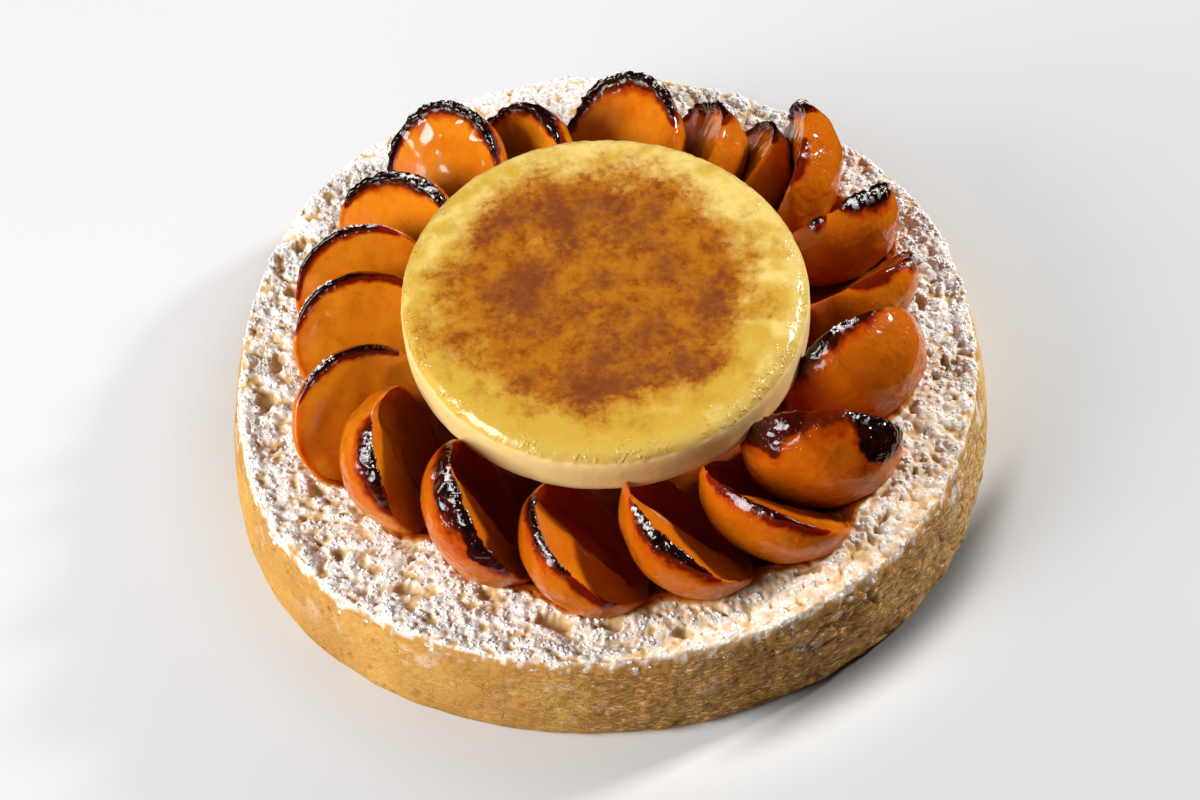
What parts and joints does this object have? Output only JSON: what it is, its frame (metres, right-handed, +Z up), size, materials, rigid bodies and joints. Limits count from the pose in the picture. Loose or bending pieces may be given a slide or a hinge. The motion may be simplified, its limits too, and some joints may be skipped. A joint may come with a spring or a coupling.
{
  "type": "apricot tart",
  "caption": "Round baked tart: lobed shortcrust shell, sugared almond filling, overlapping ring of roasted apricot halves, thick glazed custard disc on top.",
  "frame": {"origin": "on the table under the middle of the tart (the middle of the shell's flat base)", "axes": "+Z up out of the table; -Y towards the picture's camera, so the front of the tart; +X to the right in the picture"},
  "size_m": [0.2015, 0.2024, 0.0613],
  "materials": {
    "baked_crust": "matt baked shortcrust, finely cracked, golden brown",
    "almond_filling": "matt porous almond crumb under icing sugar",
    "roasted_apricot": "wet glossy roasted fruit with charred rims",
    "glazed_custard": "satin set custard, its top browned and glazed"
  },
  "bodies": {
    "root": {"crust": "baked_crust", "almond_filling": "almond_filling", "apricot_01": "roasted_apricot", "apricot_02": "roasted_apricot", "apricot_03": "roasted_apricot", "apricot_04": "roasted_apricot", "apricot_05": "roasted_apricot", "apricot_06": "roasted_apricot", "apricot_07": "roasted_apricot", "apricot_08": "roasted_apricot", "apricot_09": "roasted_apricot", "apricot_10": "roasted_apricot", "apricot_11": "roasted_apricot", "apricot_12": "roasted_apricot", "apricot_13": "roasted_apricot", "apricot_14": "roasted_apricot", "apricot_15": "roasted_apricot", "apricot_16": "roasted_apricot", "apricot_17": "roasted_apricot", "apricot_18": "roasted_apricot", "apricot_19": "roasted_apricot", "custard_disc": "glazed_custard"}
  },
  "joints": []
}
